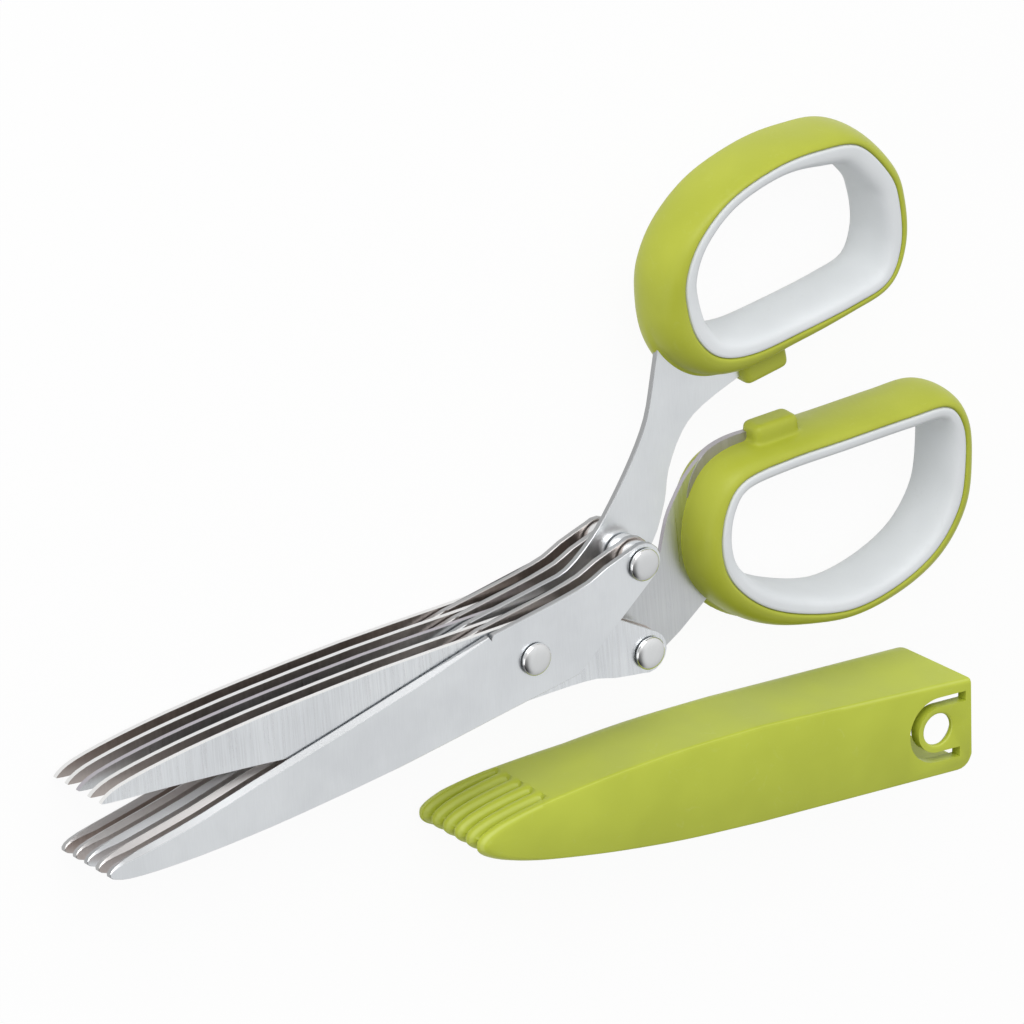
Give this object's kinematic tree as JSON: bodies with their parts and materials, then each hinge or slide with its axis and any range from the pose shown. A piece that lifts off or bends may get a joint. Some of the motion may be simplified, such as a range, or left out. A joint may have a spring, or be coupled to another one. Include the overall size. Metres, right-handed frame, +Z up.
{
  "type": "herb scissors",
  "caption": "Multi-blade herb scissors with two padded finger loops on a central pivot, lying open beside a slip-on blade cover whose nose is a cleaning comb.",
  "frame": {"origin": "on the pivot axis, at the flat tail of the pivot rivet, which the scissors rest on", "axes": "+Z up along the pivot axis towards the rivet's domed head; -X towards the blade tips, +X towards the handles, +Y towards the thumb loop"},
  "size_m": [0.2014, 0.1368, 0.0211],
  "materials": {
    "blade_steel": "satin",
    "rivet_steel": "polished",
    "green_plastic": "semi-gloss",
    "pale_liner": "soft matte"
  },
  "bodies": {
    "finger_half": {"finger_blade_1": "blade_steel", "finger_blade_2": "blade_steel", "finger_blade_3": "blade_steel", "finger_blade_4": "blade_steel", "finger_blade_5": "blade_steel", "pivot_washer_1": "rivet_steel", "pivot_washer_2": "rivet_steel", "pivot_washer_3": "rivet_steel", "pivot_washer_4": "rivet_steel", "finger_spacer_1": "rivet_steel", "finger_spacer_2": "rivet_steel", "finger_spacer_3": "rivet_steel", "finger_spacer_4": "rivet_steel", "finger_shell": "green_plastic", "finger_liner": "pale_liner", "pivot_rivet": "rivet_steel", "finger_rivet": "rivet_steel"},
    "thumb_half": {"thumb_blade_1": "blade_steel", "thumb_blade_2": "blade_steel", "thumb_blade_3": "blade_steel", "thumb_blade_4": "blade_steel", "thumb_blade_5": "blade_steel", "thumb_spacer_1": "rivet_steel", "thumb_spacer_2": "rivet_steel", "thumb_spacer_3": "rivet_steel", "thumb_spacer_4": "rivet_steel", "thumb_shell": "green_plastic", "thumb_liner": "pale_liner", "thumb_rivet": "rivet_steel"},
    "cover": {"blade_cover": "green_plastic"}
  },
  "joints": [
    {"name": "pivot", "type": "hinge", "parent": "finger_half", "child": "thumb_half", "pos_m": [0, 0, 0.00955], "axis": [0, 0, 1], "range_deg": [-8.4, 36.6]},
    {"name": "cover_slide", "type": "slide", "parent": "finger_half", "child": "cover", "axis": [0.9877, -0.1564, 0], "range_m": [0, 0.11]}
  ]
}
